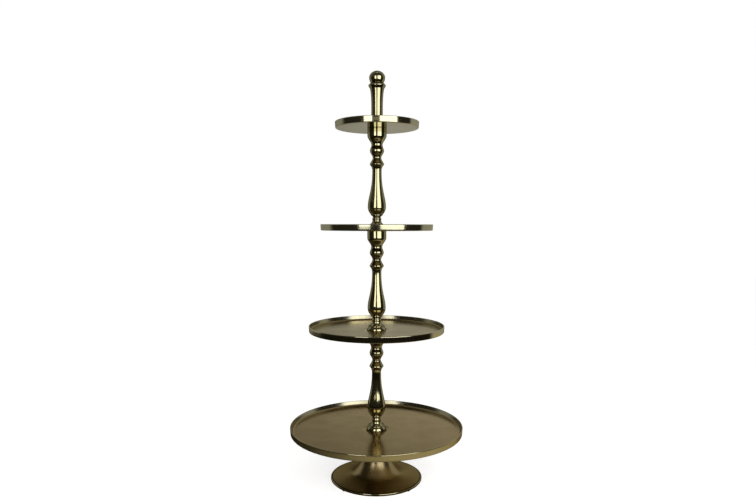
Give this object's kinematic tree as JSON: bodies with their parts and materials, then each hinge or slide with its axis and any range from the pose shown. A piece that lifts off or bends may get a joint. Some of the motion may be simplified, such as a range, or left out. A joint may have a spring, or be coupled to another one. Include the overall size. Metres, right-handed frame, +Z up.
{
  "type": "tiered etagere",
  "caption": "Free-standing round etagere: rimmed trays of falling size clamped between turned columns on a trumpet foot, with a ball-topped carrying handle, brass finish.",
  "frame": {"origin": "on the axis of the stand, at the surface that its felt pads rest on", "axes": "+Z up along the columns; the stand is round, so +X and +Y are any two level directions at right angles"},
  "size_m": [0.41, 0.41, 0.9666],
  "materials": {
    "polished_brass": "polished antique-brass plating on cast aluminium",
    "satin_brass": "satin antique-brass plating on cast aluminium, polished rim",
    "bronzed_foot": "dark bronzed brass plating on cast aluminium, satin",
    "plated_steel": "zinc-plated threaded stud",
    "rubber": "matte black",
    "felt": "brown felt"
  },
  "bodies": {
    "base": {"foot": "bronzed_foot", "felt_pad_1": "felt", "felt_pad_2": "felt", "felt_pad_3": "felt", "felt_pad_4": "felt", "tray_1": "satin_brass"},
    "washer_1": {"washer_1": "rubber"},
    "column_1": {"column_1": "polished_brass", "stud_1": "plated_steel", "tray_2": "satin_brass"},
    "washer_2": {"washer_2": "rubber"},
    "column_2": {"column_2": "polished_brass", "stud_2": "plated_steel", "tray_3": "satin_brass"},
    "washer_3": {"washer_3": "rubber"},
    "column_3": {"column_3": "polished_brass", "stud_3": "plated_steel", "tray_4": "satin_brass"},
    "washer_4": {"washer_4": "rubber"},
    "finial": {"finial": "polished_brass", "stud_4": "plated_steel"}
  },
  "joints": [
    {"name": "washer_1_rise", "type": "slide", "parent": "base", "child": "washer_1", "axis": [0, 0, 1], "range_m": [0, 0.018]},
    {"name": "column_1_unscrew", "type": "hinge", "parent": "washer_1", "child": "column_1", "pos_m": [0, 0, 0.1198], "axis": [0, 0, 1], "range_deg": [0, 4320]},
    {"name": "washer_2_rise", "type": "slide", "parent": "column_1", "child": "washer_2", "axis": [0, 0, 1], "range_m": [0, 0.018]},
    {"name": "column_2_unscrew", "type": "hinge", "parent": "washer_2", "child": "column_2", "pos_m": [0, 0, 0.3587], "axis": [0, 0, 1], "range_deg": [0, 4320]},
    {"name": "washer_3_rise", "type": "slide", "parent": "column_2", "child": "washer_3", "axis": [0, 0, 1], "range_m": [0, 0.018]},
    {"name": "column_3_unscrew", "type": "hinge", "parent": "washer_3", "child": "column_3", "pos_m": [0, 0, 0.5976], "axis": [0, 0, 1], "range_deg": [0, 4320]},
    {"name": "washer_4_rise", "type": "slide", "parent": "column_3", "child": "washer_4", "axis": [0, 0, 1], "range_m": [0, 0.018]},
    {"name": "finial_unscrew", "type": "hinge", "parent": "washer_4", "child": "finial", "pos_m": [0, 0, 0.8365], "axis": [0, 0, 1], "range_deg": [0, 4320]}
  ],
  "couplings": [
    {"joint": "washer_1_rise", "follows": "column_1_unscrew", "m_per_rad": 0.00023873},
    {"joint": "washer_2_rise", "follows": "column_2_unscrew", "m_per_rad": 0.00023873},
    {"joint": "washer_3_rise", "follows": "column_3_unscrew", "m_per_rad": 0.00023873},
    {"joint": "washer_4_rise", "follows": "finial_unscrew", "m_per_rad": 0.00023873}
  ]
}
